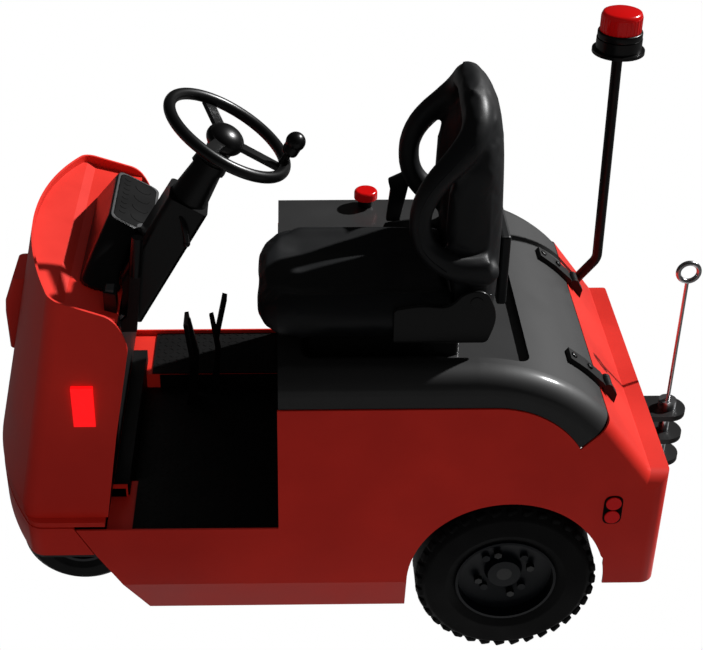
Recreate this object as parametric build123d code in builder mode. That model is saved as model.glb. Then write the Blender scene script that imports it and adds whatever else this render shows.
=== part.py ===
"""Airport baggage tug: a small four-wheeled electric tow tractor for one driver.

Millimetres. +X is forward, +Y is the driver's left, +Z is up, and the ground is Z = 0.
Drawings on the side, level and cross planes count X from the rear axle. The planes themselves
put the middle of the tug's length, from hitch to nose, at X = 0.
"""
import os
from math import cos, radians, sin

from build123d import *

os.makedirs("parts", exist_ok=True)

# Overall stations, from the rear axle
wheelbase = 1010
nose_reach = 176
hitch_reach = 478
nose_x = wheelbase + nose_reach
rear_axle_x = (hitch_reach - nose_x) / 2

# Widths, walls and clearances
half_width = 412
skin = 5
seat_gap = 0.2
lid_gap = 5
running_clearance = 0.05

# Rear wheels and drive axle
rear_tyre_radius = 207.5
rear_tyre_width = 112
rear_rim_radius = 116
rear_wheel_inset = 8
rear_spindle_radius = 17.5
axle_tube_radius = 35
rear_wheel_y = half_width - rear_wheel_inset - rear_tyre_width / 2

# Twin front wheels under one kingpin
front_tyre_radius = 140
front_tyre_width = 94
front_tyre_spacing = 132
front_rim_radius = 79
front_axle_radius = 15
kingpin_radius = 25
knuckle_half_width = 54

# Heights of the body
skirt_bottom_z = 132
skirt_crease_z = 220
skirt_tuck = 22
sill_z = 382
ledge_z = 368
mat_thickness = 4
well_z = 324
well_half_width = 220
bumper_bottom_z = 311
bumper_top_z = 388
deck_bottom_z = 392
deck_thickness = 12
deck_z = deck_bottom_z + deck_thickness
waist_z = 711
hood_z = 792

# Stations of the body, from the rear axle
arch_centre = (5, 222)
arch_radius = 225
bulkhead_x = 521
toe_x = 868
toe_half_width = 277
plate_front_x = 907
tail_seam_x = -182
tail_rear_x = -341
tail_bottom_z = 212
tail_shelf = (-299, 520)
tail_edge_radius = 36
hood_rear_top = (-190, 664)
hood_rear_side = (-130, 602)
side_knee_z = 525

# Nose
crown_radius = 780
nose_corner_radius = 40
cowl_inset = 20
cowl_side_lean = 0.09
cowl_front_lean = 0.229
cowl_upright = 26
cowl_wall = 6
cowl_top_z = 1000
tray_drop = 22
tray_thickness = 5

# Frame
rail_y = 235
rail_width = 50
rail_height = 72
rail_wall = 4
rail_front_x = 740
head_beam = 40
bed_thickness = 10

# Driver's place
driver_y = 142
wheel_centre = (618, 1218)
column_tilt = 31
hand_rim_radius = 137
hand_rim_thickness = 25


def side_plane(y):
    """A plane seen from the left: x forward from the rear axle, y up, extruded to the right."""
    return Plane(origin=(rear_axle_x, y, 0), x_dir=(1, 0, 0), z_dir=(0, -1, 0))


def level_plane(z):
    """A level plane: x forward from the rear axle, y to the left, extruded upward."""
    return Plane(origin=(rear_axle_x, 0, z))


def cross_plane(x):
    """A plane across the tug: x to the left, y up, extruded forward."""
    return Plane(origin=(rear_axle_x + x, 0, 0), x_dir=(0, 1, 0), z_dir=(1, 0, 0))


def at(x, y, z):
    """A point given from the rear axle."""
    return (rear_axle_x + x, y, z)


def block(x_range, y_range, z_range):
    """A plain block between two stations, two widths and two heights."""
    with BuildPart() as box:
        with BuildSketch(level_plane(z_range[0])):
            with Locations(((x_range[0] + x_range[1]) / 2, (y_range[0] + y_range[1]) / 2)):
                Rectangle(x_range[1] - x_range[0], y_range[1] - y_range[0])
        extrude(amount=z_range[1] - z_range[0])
    return box.part


def side_slab(points, y_left, y_right):
    """A straight-edged side outline as wide as from y_left to y_right."""
    with BuildPart() as slab:
        with BuildSketch(side_plane(y_left)):
            with BuildLine():
                Polyline(*points, close=True)
            make_face()
        extrude(amount=y_left - y_right)
    return slab.part


def disc(x, z, y_left, y_right, radius):
    """A round across the tug, such as an axle, a hub or a wheel's hollow."""
    with BuildPart() as round_bar:
        with BuildSketch(side_plane(y_left)):
            with Locations((x, z)):
                Circle(radius)
        extrude(amount=y_left - y_right)
    return round_bar.part


def post(x, y, z_bottom, z_top, radius):
    """An upright round."""
    with BuildPart() as upright:
        with BuildSketch(level_plane(z_bottom)):
            with Locations((x, y)):
                Circle(radius)
        extrude(amount=z_top - z_bottom)
    return upright.part


def tyre(x, y, radius, width, rim_radius, shoulder):
    """A tyre turned about its axle, with round shoulders and a tucked bead."""
    with BuildPart() as ring:
        with BuildSketch(Plane(origin=at(x, y, radius), x_dir=(0, 1, 0), z_dir=(-1, 0, 0))):
            with BuildLine():
                Polyline((-width / 2 + shoulder / 2, rim_radius), (-width / 2, rim_radius + shoulder),
                         (-width / 2, radius - shoulder), (-width / 2 + shoulder, radius),
                         (width / 2 - shoulder, radius), (width / 2, radius - shoulder),
                         (width / 2, rim_radius + shoulder), (width / 2 - shoulder / 2, rim_radius),
                         close=True)
            make_face()
        revolve(axis=Axis(at(x, y, radius), (0, 1, 0)))
        crown = ring.edges().filter_by(GeomType.CIRCLE)
        fillet([edge for edge in crown if edge.radius > rim_radius + shoulder - 1], shoulder / 3)
    return ring.part


for side, name in ((1, "left"), (-1, "right")):
    with BuildPart() as rear_tyre:
        add(tyre(0, side * rear_wheel_y, rear_tyre_radius, rear_tyre_width, rear_rim_radius, 22))
    rear_tyre.part.label = "rear_tyre_" + name
    export_step(rear_tyre.part, "parts/rear_tyre_" + name + ".step")

# Rear rims: a flanged barrel, a dished disc with four bolt bosses, and the hub on its spindle
rim_flange = 9
rim_barrel_wall = 6
disc_inset = 30
disc_thickness = 10
hub_radius = 38
bolt_circle = 62
bolt_boss_radius = 9
for side, name in ((1, "left"), (-1, "right")):
    half_barrel = rear_tyre_width / 2 - rim_flange / 2
    with BuildPart() as rear_rim:
        wheel_side = Plane(origin=at(0, side * rear_wheel_y, rear_tyre_radius),
                           x_dir=(0, side, 0), z_dir=(-side, 0, 0))
        with BuildSketch(wheel_side):
            barrel = rear_rim_radius - seat_gap
            with BuildLine():
                Polyline((-half_barrel, barrel - rim_barrel_wall), (-half_barrel, barrel),
                         (half_barrel, barrel), (half_barrel, barrel - rim_barrel_wall), close=True)
            make_face()
            disc_y = half_barrel - disc_inset
            with BuildLine():
                Polyline((disc_y, barrel - rim_barrel_wall + 1), (disc_y - disc_thickness, barrel - 5),
                         (disc_y - disc_thickness - 12, hub_radius), (-half_barrel, hub_radius),
                         (-half_barrel, rear_spindle_radius + running_clearance),
                         (half_barrel - 24, rear_spindle_radius + running_clearance),
                         (half_barrel - 24, hub_radius), (disc_y - 12, hub_radius + 6), close=True)
            make_face()
        revolve(axis=Axis(at(0, 0, rear_tyre_radius), (0, 1, 0)))
        bosses = Plane(origin=at(0, side * (rear_wheel_y + disc_y - 18), rear_tyre_radius),
                       x_dir=(side, 0, 0), z_dir=(0, side, 0))
        with BuildSketch(bosses):
            with PolarLocations(bolt_circle, 4, start_angle=45):
                Circle(bolt_boss_radius)
        extrude(amount=20)
    rear_rim.part.label = "rear_rim_" + name
    export_step(rear_rim.part, "parts/rear_rim_" + name + ".step")

# Drive axle: tube, spindles, differential and motor, hung under the rails by two saddles
rail_bottom_z = well_z - mat_thickness - rail_height
rail_top_z = well_z - mat_thickness
motor_length = 150
motor_radius = 85
axle_inner_y = rear_wheel_y - rear_tyre_width / 2 - lid_gap
spindle_end_y = rear_wheel_y + rear_tyre_width / 2 - rim_flange / 2 - 24
with BuildPart() as drive_axle:
    add(disc(0, rear_tyre_radius, axle_inner_y, -axle_inner_y, axle_tube_radius))
    add(disc(0, rear_tyre_radius, spindle_end_y, -spindle_end_y, rear_spindle_radius))
    add(disc(0, rear_tyre_radius, 90, -90, motor_radius))
    with BuildSketch(cross_plane(0)):
        with Locations((0, rear_tyre_radius)):
            Circle(motor_radius)
    extrude(amount=motor_radius + motor_length)
    for side in (1, -1):
        saddle = (side * rail_y - rail_width / 2, side * rail_y + rail_width / 2)
        add(block((-axle_tube_radius, axle_tube_radius), saddle, (rear_tyre_radius, rail_bottom_z)))
drive_axle.part.label = "drive_axle"
export_step(drive_axle.part, "parts/drive_axle.step")

# Frame rails: rectangular tubes from the tail to the steering head
for side, name in ((1, "left"), (-1, "right")):
    with BuildPart() as frame_rail:
        rail_rear_x = tail_rear_x + skin
        with BuildSketch(cross_plane(rail_rear_x)):
            with Locations((side * rail_y, (rail_bottom_z + rail_top_z) / 2)):
                Rectangle(rail_width, rail_height)
                Rectangle(rail_width - 2 * rail_wall, rail_height - 2 * rail_wall, mode=Mode.SUBTRACT)
        extrude(amount=rail_front_x - rail_rear_x)
    frame_rail.part.label = "frame_rail_" + name
    export_step(frame_rail.part, "parts/frame_rail_" + name + ".step")


def nose_outline(side_y, front_x, rear_x, corner):
    """The nose in plan: straight sides, a crowned front and small round corners."""
    drop = crown_radius - (crown_radius**2 - side_y**2) ** 0.5
    with BuildSketch() as outline:
        with BuildLine():
            Polyline((front_x - drop, side_y), (rear_x, side_y), (rear_x, -side_y),
                     (front_x - drop, -side_y))
            ThreePointArc((front_x - drop, -side_y), (front_x, 0), (front_x - drop, side_y))
        make_face()
        front_corners = outline.vertices().group_by(Axis.X)[-1]
        fillet(front_corners, corner)
    return outline.sketch


# Steering head: a cross beam, the bed under the nose and the kingpin's bearing
bed_rear_x = rail_front_x + head_beam
bed_z = bumper_bottom_z
crown_z = bed_z - bed_thickness - 0.3
bearing_radius = 42
with BuildPart() as steering_head:
    with BuildSketch(level_plane(bed_z - bed_thickness)):
        add(nose_outline(half_width - skin, nose_x - skin, bed_rear_x, nose_corner_radius))
    extrude(amount=bed_thickness)
    beam_half = rail_y + rail_width / 2
    add(block((rail_front_x, bed_rear_x), (-beam_half, beam_half), (rail_bottom_z, rail_top_z)))
    add(post(wheelbase, 0, bed_z, deck_bottom_z, bearing_radius))
    kingpin_bore = kingpin_radius + running_clearance
    add(post(wheelbase, 0, bed_z - bed_thickness, deck_bottom_z, kingpin_bore), mode=Mode.SUBTRACT)
steering_head.part.label = "steering_head"
export_step(steering_head.part, "parts/steering_head.step")

# Steering knuckle: one leg between the twin wheels, with the kingpin on its crown
with BuildPart() as steering_knuckle:
    with BuildSketch(cross_plane(wheelbase)):
        with Locations((0, front_tyre_radius)):
            Circle(front_rim_radius * 0.55)
        with BuildLine():
            Polyline((-40, front_tyre_radius), (-knuckle_half_width, crown_z), (knuckle_half_width, crown_z),
                     (40, front_tyre_radius), close=True)
        make_face()
    extrude(amount=34, both=True)
    add(post(wheelbase, 0, crown_z - 14, crown_z, knuckle_half_width + 6))
    add(post(wheelbase, 0, crown_z, deck_bottom_z - 6, kingpin_radius))
    axle_bore = front_axle_radius + running_clearance
    add(disc(wheelbase, front_tyre_radius, 100, -100, axle_bore), mode=Mode.SUBTRACT)
steering_knuckle.part.label = "steering_knuckle"
export_step(steering_knuckle.part, "parts/steering_knuckle.step")

# Twin front wheels: two small tyres on one turned axle with dished rims
front_tyre_y = front_tyre_spacing / 2 + front_tyre_width / 2
for side, name in ((1, "left"), (-1, "right")):
    with BuildPart() as front_tyre:
        add(tyre(wheelbase, side * front_tyre_y, front_tyre_radius, front_tyre_width,
                 front_rim_radius, 16))
    front_tyre.part.label = "front_tyre_" + name
    export_step(front_tyre.part, "parts/front_tyre_" + name + ".step")
with BuildPart() as front_axle:
    with BuildSketch(Plane(origin=at(wheelbase, 0, front_tyre_radius), x_dir=(0, 1, 0), z_dir=(-1, 0, 0))):
        for side in (1, -1):
            inner = side * (front_tyre_spacing / 2 + 6)
            outer = side * (front_tyre_spacing / 2 + front_tyre_width - 6)
            middle = side * (front_tyre_y + 6)
            with BuildLine():
                Polyline((inner, 0), (inner, front_rim_radius - seat_gap),
                         (outer, front_rim_radius - seat_gap), (outer, front_rim_radius - 8),
                         (middle, front_rim_radius - 14), (middle, 30), (outer, 26), (outer, 0), close=True)
            make_face()
        with Locations((0, front_axle_radius / 2)):
            Rectangle(front_tyre_spacing + 20, front_axle_radius)
    revolve(axis=Axis(at(wheelbase, 0, front_tyre_radius), (0, 1, 0)))
front_axle.part.label = "front_axle"
export_step(front_axle.part, "parts/front_axle.step")

# Bumper: a rolled band round the nose with a set-back lip that carries the deck
bumper_wall = 6
bumper_rear_top_x = 978
bumper_rear_bottom_x = 937
lip_inset = 8
with BuildPart() as front_bumper:
    with BuildSketch(level_plane(bumper_bottom_z)):
        add(nose_outline(half_width, nose_x, plate_front_x, nose_corner_radius))
        add(nose_outline(half_width - bumper_wall, nose_x - bumper_wall, plate_front_x - 20,
                         nose_corner_radius - bumper_wall), mode=Mode.SUBTRACT)
    extrude(amount=bumper_top_z - bumper_bottom_z)
    with BuildSketch(level_plane(bumper_top_z - 4)):
        add(nose_outline(half_width - bumper_wall + 1, nose_x - bumper_wall + 1, plate_front_x,
                         nose_corner_radius - bumper_wall))
        add(nose_outline(half_width - bumper_wall - lip_inset, nose_x - bumper_wall - lip_inset,
                         plate_front_x - 20, nose_corner_radius - bumper_wall - lip_inset),
            mode=Mode.SUBTRACT)
    extrude(amount=deck_bottom_z - bumper_top_z + 4)
    slant = (bumper_rear_top_x - bumper_rear_bottom_x) / (bumper_top_z - bumper_bottom_z)
    rear_cut = [(plate_front_x - 30, bumper_bottom_z - 1), (bumper_rear_bottom_x - slant, bumper_bottom_z - 1),
                (bumper_rear_top_x + 4 * slant, deck_bottom_z), (bumper_rear_top_x + 4 * slant, deck_bottom_z + 1),
                (plate_front_x - 30, deck_bottom_z + 1)]
    add(side_slab(rear_cut, half_width + 1, -half_width - 1), mode=Mode.SUBTRACT)
front_bumper.part.label = "front_bumper"
export_step(front_bumper.part, "parts/front_bumper.step")

# Front deck: the flat plate under the cowl, with a tongue back to the toe wall
deck_inset = 1
with BuildPart() as front_deck:
    with BuildSketch(level_plane(deck_bottom_z)):
        add(nose_outline(half_width - deck_inset, nose_x - deck_inset, plate_front_x, nose_corner_radius))
        with Locations(((toe_x + plate_front_x) / 2, 0)):
            Rectangle(plate_front_x - toe_x, 2 * toe_half_width)
    extrude(amount=deck_thickness)
front_deck.part.label = "front_deck"
export_step(front_deck.part, "parts/front_deck.step")


# Cowl: a crowned sheet that leans in and back as it rises, open behind and above
cowl_base_y = half_width - cowl_inset


def cowl_form(inset, bottom_z, top_z):
    """The cowl's outer form, drawn in by inset, between two heights."""
    with BuildPart() as form:
        for z in (bottom_z, deck_z + cowl_upright, top_z):
            rise = max(z - deck_z, 0)
            lean = max(z - deck_z - cowl_upright, 0)
            with BuildSketch(level_plane(z)):
                add(nose_outline(cowl_base_y - cowl_side_lean * rise - inset,
                                 nose_x - 1 - cowl_front_lean * lean - inset, 600,
                                 nose_corner_radius - inset))
        loft(ruled=True)
    return form.part


def rim_profile(drop):
    """The sloping rim of the cowl as seen from the side, lowered by drop."""
    return [(885, 906 - drop), (926, 918 - drop), (966, 930 - drop), (985, 944 - drop), (1062, 975 - drop)]


cowl_rear_low = (901, deck_z)
cowl_rear_mid = (871, 606)
cowl_rear_high = (835, 812)
with BuildPart() as cowl:
    add(cowl_form(0, deck_z, cowl_top_z))
    add(cowl_form(cowl_wall, deck_z - 1, cowl_top_z + 1), mode=Mode.SUBTRACT)
    with BuildSketch(side_plane(half_width)):
        with BuildLine():
            Polyline(rim_profile(0)[0], (nose_x + 20, rim_profile(0)[-1][1] + 44), (nose_x + 20, deck_z),
                     cowl_rear_low, cowl_rear_mid, cowl_rear_high)
            Spline(cowl_rear_high, (846, 869), rim_profile(0)[0],
                   tangents=((-36, 196), (41, 12)))
        make_face()
    extrude(amount=2 * half_width, mode=Mode.INTERSECT)
cowl.part.label = "cowl"
export_step(cowl.part, "parts/cowl.step")

# Dash tray: a shelf just under the rim that follows its slope
tray_rear_x = 855
tray_slope = 0.3
with BuildPart() as dash_tray:
    with BuildSketch(side_plane(half_width)):
        tray_line = [(tray_rear_x, rim_profile(tray_drop)[0][1] - tray_slope * (885 - tray_rear_x))]
        tray_line += rim_profile(tray_drop)[1:] + [(nose_x, rim_profile(tray_drop)[-1][1] + 50)]
        with BuildLine():
            Polyline(*tray_line, *[(x, z - tray_thickness) for x, z in reversed(tray_line)], close=True)
        make_face()
    extrude(amount=2 * half_width)
    add(cowl_form(cowl_wall + seat_gap, deck_z, cowl_top_z), mode=Mode.INTERSECT)
dash_tray.part.label = "dash_tray"
export_step(dash_tray.part, "parts/dash_tray.step")

# Kick panel: closes the cowl from the deck up to the tray, leaning like the cowl's rear edge
kick_thickness = 4
kick_foot_x = 900
tray_under_z = tray_line[0][1] - tray_thickness
with BuildPart() as kick_panel:
    add(side_slab([(kick_foot_x, deck_z), (kick_foot_x + kick_thickness, deck_z),
                   (tray_rear_x + kick_thickness, tray_under_z + tray_slope * kick_thickness),
                   (tray_rear_x, tray_under_z)], half_width, -half_width))
    add(cowl_form(cowl_wall + seat_gap, deck_z, cowl_top_z), mode=Mode.INTERSECT)
    add(dash_tray.part, mode=Mode.SUBTRACT)
kick_panel.part.label = "kick_panel"
export_step(kick_panel.part, "parts/kick_panel.step")

# Floor: a folded sheet with a sunken foot well between two ledges and an upright toe wall
with BuildPart() as floor_pan:
    with BuildSketch(cross_plane(bulkhead_x)):
        inner_y = half_width - skin
        with BuildLine():
            Polyline((-inner_y, ledge_z), (-well_half_width, ledge_z), (-well_half_width, well_z),
                     (well_half_width, well_z), (well_half_width, ledge_z), (inner_y, ledge_z),
                     (inner_y, ledge_z - mat_thickness),
                     (well_half_width + mat_thickness, ledge_z - mat_thickness),
                     (well_half_width + mat_thickness, rail_top_z),
                     (-well_half_width - mat_thickness, rail_top_z),
                     (-well_half_width - mat_thickness, ledge_z - mat_thickness),
                     (-inner_y, ledge_z - mat_thickness), close=True)
        make_face()
    extrude(amount=plate_front_x - bulkhead_x)
    add(block((toe_x, plate_front_x), (-toe_half_width, toe_half_width), (rail_top_z, ledge_z)),
        mode=Mode.SUBTRACT)
    add(block((toe_x, toe_x + mat_thickness), (-toe_half_width, toe_half_width), (rail_top_z, deck_bottom_z)))
floor_pan.part.label = "floor_pan"
export_step(floor_pan.part, "parts/floor_pan.step")

# Rubber mats on the two ledges
mat_front_x = 849
with BuildPart() as floor_mats:
    for side in (1, -1):
        edge_y = sorted((side * well_half_width, side * (half_width - skin)))
        add(block((bulkhead_x + 1, mat_front_x), edge_y, (ledge_z, ledge_z + mat_thickness)))
floor_mats.part.label = "floor_mats"
export_step(floor_mats.part, "parts/floor_mats.step")

# Seat bulkhead: the upright panel between the foot well and the battery
with BuildPart() as seat_bulkhead:
    add(block((bulkhead_x - skin, bulkhead_x), (skin - half_width, half_width - skin),
              (ledge_z, waist_z - lid_gap)))
    add(block((bulkhead_x - skin, bulkhead_x), (-well_half_width, well_half_width), (rail_top_z, ledge_z)))
seat_bulkhead.part.label = "seat_bulkhead"
export_step(seat_bulkhead.part, "parts/seat_bulkhead.step")

# Side panels: one sheet from the sill down to the tucked skirt and back round the wheel arch
hood_edge_bend_x = 60
hood_edge_radius = 220
skirt_front = [(bumper_rear_bottom_x + slant * (sill_z - bumper_bottom_z) - 3, sill_z),
               (bumper_rear_bottom_x - 3, bumper_bottom_z), (878, skirt_crease_z), (823, skirt_bottom_z)]
for side, name in ((1, "left"), (-1, "right")):
    with BuildPart() as body_side:
        with BuildSketch(cross_plane(-400)):
            outer_y = side * half_width
            inner_y = side * (half_width - skin)
            tuck = side * skirt_tuck
            with BuildLine():
                Polyline((outer_y, waist_z), (outer_y, skirt_crease_z), (outer_y - tuck, skirt_bottom_z),
                         (inner_y - tuck, skirt_bottom_z), (inner_y, skirt_crease_z), (inner_y, waist_z),
                         close=True)
            make_face()
        extrude(amount=1600)
        with BuildSketch(side_plane(half_width)):
            top = waist_z - lid_gap
            with BuildLine():
                edge = Polyline((hood_edge_bend_x, top), (bulkhead_x, top), (bulkhead_x, sill_z),
                                *skirt_front,
                                (arch_centre[0] + arch_radius, skirt_bottom_z),
                                (arch_centre[0] + arch_radius, arch_centre[1]))
                RadiusArc((hood_edge_bend_x, top), (hood_rear_side[0] - 2, hood_rear_side[1] - 5),
                          -hood_edge_radius)
                Polyline((hood_rear_side[0] - 2, hood_rear_side[1] - 5), (tail_seam_x, side_knee_z),
                         (tail_seam_x, arch_centre[1]), (arch_centre[0] + arch_radius, arch_centre[1]))
            make_face()
            with Locations(arch_centre):
                Circle(arch_radius, mode=Mode.SUBTRACT)
        extrude(amount=2 * half_width, mode=Mode.INTERSECT)
    body_side.part.label = "body_side_" + name
    export_step(body_side.part, "parts/body_side_" + name + ".step")

# Tail: a folded cover with a steep back, a short shelf, an upright rear face and rounded sides
tail_hood_top = (hood_rear_top[0] - 3, hood_rear_top[1] - 4)
tail_outline = [tail_hood_top, tail_shelf, (tail_rear_x, tail_shelf[1]), (tail_rear_x, tail_bottom_z),
                (-215, tail_bottom_z)]


def tail_form(inset, open_by):
    """The tail's outer form drawn in by inset, and reaching past its open front and bottom."""
    with BuildPart() as form:
        slope_x = inset * 1.25
        with BuildSketch(side_plane(half_width - inset)):
            with BuildLine():
                Polyline((tail_hood_top[0] + open_by, tail_hood_top[1] - inset * 1.6 + 1.31 * open_by),
                         (tail_shelf[0] + slope_x * 0.4, tail_shelf[1] - inset),
                         (tail_rear_x + inset, tail_shelf[1] - inset),
                         (tail_rear_x + inset, tail_bottom_z - open_by), (100, tail_bottom_z - open_by),
                         (100, tail_hood_top[1] - inset * 1.6 + 1.31 * open_by), close=True)
            make_face()
        extrude(amount=2 * (half_width - inset))
        long_edges = form.edges().filter_by(GeomType.LINE)
        side_edges = [e for e in long_edges if abs(abs(e.center().Y) - half_width + inset) < 0.1
                      and e.center().X < rear_axle_x + tail_hood_top[0] + open_by
                      and e.center().Z > tail_bottom_z - open_by + 1]
        fillet(side_edges, tail_edge_radius - inset)
    return form.part


with BuildPart() as tail_shell:
    add(tail_form(0, 0))
    add(tail_form(skin, 10), mode=Mode.SUBTRACT)
    with BuildSketch(side_plane(half_width)):
        with BuildLine():
            Polyline(tail_hood_top, (hood_rear_side[0] - 2, hood_rear_side[1] - 5),
                     (tail_seam_x, side_knee_z), (tail_seam_x, 330), (-215, 285), (-215, tail_bottom_z),
                     (tail_rear_x - 10, tail_bottom_z), (tail_rear_x - 10, 700), (-300, 760), close=True)
        make_face()
        with Locations(arch_centre):
            Circle(arch_radius, mode=Mode.SUBTRACT)
    extrude(amount=2 * half_width, mode=Mode.INTERSECT)
tail_shell.part.label = "tail_shell"
export_step(tail_shell.part, "parts/tail_shell.step")


# Hood: a deep moulded lid with round shoulders, a curved back and a sunken seat place
hood_shoulder = 50
hood_wall = 5
hood_form_bottom_z = 400
hood_back_radius = 380
hood_back_centre = (94.5, hood_z - hood_back_radius)
hood_back_sweep = 75
recess = {"rear": -20, "front": 470, "left": 342, "right": -65, "floor": 757}


def hood_form(inset):
    """The hood's outer form drawn in by inset, its round back run on past the hood's edge."""
    with BuildPart() as form:
        with BuildSketch(side_plane(half_width - inset)):
            top = hood_z - inset
            front = bulkhead_x - 2 - inset
            back_radius = hood_back_radius - inset
            back_end = (hood_back_centre[0] - back_radius * sin(radians(hood_back_sweep)),
                        hood_back_centre[1] + back_radius * cos(radians(hood_back_sweep)))
            with BuildLine():
                Polyline((hood_back_centre[0], top), (front, top), (front, hood_form_bottom_z),
                         (back_end[0], hood_form_bottom_z), back_end)
                RadiusArc((hood_back_centre[0], top), back_end, -back_radius)
            make_face()
        extrude(amount=2 * (half_width - inset))
        tops = [e for e in form.edges()
                if abs(abs(e.center().Y) - half_width + inset) < 0.1 and e.center().Z > hood_rear_top[1] + 20
                and e.length > 200]
        fillet(tops, hood_shoulder - inset)
        with BuildSketch(level_plane(recess["floor"] - inset)):
            with Locations(((recess["rear"] + recess["front"]) / 2, (recess["left"] + recess["right"]) / 2)):
                RectangleRounded(recess["front"] - recess["rear"] + 2 * inset,
                                 recess["left"] - recess["right"] + 2 * inset, 30 + inset)
        extrude(amount=200, mode=Mode.SUBTRACT)
    return form.part


with BuildPart() as hood:
    add(hood_form(0))
    add(hood_form(hood_wall), mode=Mode.SUBTRACT)
    with BuildSketch(side_plane(half_width)):
        with BuildLine():
            Polyline((hood_edge_bend_x, waist_z), (bulkhead_x, waist_z), (bulkhead_x, hood_z + 10),
                     (-150, hood_z + 10), (hood_rear_top[0] - 30, hood_rear_top[1] + 31), hood_rear_top,
                     hood_rear_side)
            RadiusArc((hood_edge_bend_x, waist_z), hood_rear_side, -hood_edge_radius)
        make_face()
    extrude(amount=2 * half_width, mode=Mode.INTERSECT)
hood.part.label = "hood"
export_step(hood.part, "parts/hood.step")

# Battery: one block on the rails, under the hood and behind the bulkhead
with BuildPart() as battery:
    add(block((235, bulkhead_x - skin - 15), (-330, 330), (rail_top_z, recess["floor"] - hood_wall - 60)))
battery.part.label = "battery"
export_step(battery.part, "parts/battery.step")

# Hinges: two straps over the back of the hood, their knuckles round a pin in tail brackets
hinge_x = -212
hinge_z = 656
hinge_ys = (247, -201)
hinge_radius = 11
hinge_pin_radius = 5
strap_half_width = 22
bracket_half_width = 10
strap_side = [(-108, 700), (-115, 729), (-122, 739), (-160, 710), (-199, 673), (hinge_x, hinge_z), (-190, 664)]
bracket_side = [(-204, 652), (-219, 661), (-236, 632), (-230, 600), (-206, 640)]
with BuildPart() as hinge_straps:
    for hinge_y in hinge_ys:
        with BuildPart() as strap:
            add(side_slab(strap_side, hinge_y + strap_half_width, hinge_y - strap_half_width))
            add(hood_form(0), mode=Mode.SUBTRACT)
            add(disc(hinge_x, hinge_z, hinge_y + strap_half_width, hinge_y - strap_half_width, hinge_radius))
            add(disc(hinge_x, hinge_z, hinge_y + bracket_half_width + 1, hinge_y - bracket_half_width - 1,
                     hinge_radius + 4), mode=Mode.SUBTRACT)
            add(disc(hinge_x, hinge_z, hinge_y + strap_half_width, hinge_y - strap_half_width,
                     hinge_pin_radius))
        add(strap.part)
hinge_straps.part.label = "hinge_straps"
export_step(hinge_straps.part, "parts/hinge_straps.step")
with BuildPart() as hinge_brackets:
    for hinge_y in hinge_ys:
        edges_y = (hinge_y + bracket_half_width, hinge_y - bracket_half_width)
        with BuildPart() as bracket:
            add(side_slab(bracket_side, *edges_y))
            add(disc(hinge_x, hinge_z, *edges_y, hinge_radius))
            add(disc(hinge_x, hinge_z, *edges_y, hinge_pin_radius + running_clearance), mode=Mode.SUBTRACT)
            add(tail_form(0, 0), mode=Mode.SUBTRACT)
        add(bracket.part)
hinge_brackets.part.label = "hinge_brackets"
export_step(hinge_brackets.part, "parts/hinge_brackets.step")

# Seat: a black pan in the hood's recess, a thick cushion and a tall moulded back
seat_half_width = 182
pan = {"rear": 126, "front": 455, "half": 140}
cushion_bottom_z = 815
with BuildPart() as seat_pan:
    pan_y = (driver_y - pan["half"], driver_y + pan["half"])
    add(block((pan["rear"], pan["front"]), pan_y, (recess["floor"], cushion_bottom_z - seat_gap)))
    upright_edges = seat_pan.edges().filter_by(Axis.Z)
    fillet(upright_edges, 14)
seat_pan.part.label = "seat_pan"
export_step(seat_pan.part, "parts/seat_pan.step")

cushion_rear_x = 142
cushion_front_x = 571
cushion_top_z = 918
cushion_dish = 26
with BuildPart() as seat_cushion:
    with BuildSketch(level_plane(cushion_bottom_z)):
        with Locations(((cushion_rear_x + cushion_front_x) / 2, driver_y)):
            Rectangle(cushion_front_x - cushion_rear_x, 2 * seat_half_width)
        fillet(vertices().group_by(Axis.X)[-1], 90)
        fillet(vertices().group_by(Axis.X)[0], 20)
    extrude(amount=cushion_top_z - cushion_bottom_z)
    fillet(seat_cushion.faces().sort_by(Axis.Z)[-1].outer_wire().edges(), 36)
    fillet(seat_cushion.faces().sort_by(Axis.Z)[0].outer_wire().edges(), 12)
    with BuildSketch(cross_plane(cushion_rear_x + 30)):
        with Locations((driver_y, cushion_top_z + cushion_dish)):
            Ellipse(seat_half_width - 45, 2 * cushion_dish)
    extrude(amount=cushion_front_x - cushion_rear_x - 90, mode=Mode.SUBTRACT)
seat_cushion.part.label = "seat_cushion"
export_step(seat_cushion.part, "parts/seat_cushion.step")

# Seat back: an upright shell with a headrest, and a forward wing on each side with a slot through it
back_foot_z = 853
back_front_x = cushion_rear_x - 0.3
back_shell = [(back_front_x, back_foot_z), (48, back_foot_z), (44, 927), (46, 1009), (45, 1070), (50, 1168),
              (54, 1263), (59, 1285), (71, 1322), (98, 1359), (129, 1371), (146, 1362), (138, 1340), (130, 1308),
              (134, 1276), (146, 1210), (148, 1130), (back_front_x, 1040)]
back_wing = [(90, 952), (170, 957), (202, 977), (228, 1005), (244, 1033), (254, 1072), (254, 1122), (249, 1152),
             (232, 1186), (213, 1211), (185, 1244), (164, 1277), (140, 1312), (133, 1358), (100, 1352), (90, 1200)]
wing_slot = [(174, 1188), (195, 1165), (207, 1127), (208, 1089), (198, 1068), (187, 1080), (180, 1097), (176, 1135)]
wing_thickness = 38
headrest_outline = [(182, back_foot_z - 1), (182, 1190), (158, 1262), (138, 1330), (108, 1366), (70, 1373)]
headrest_outline += [(-across, z) for across, z in reversed(headrest_outline)]
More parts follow.
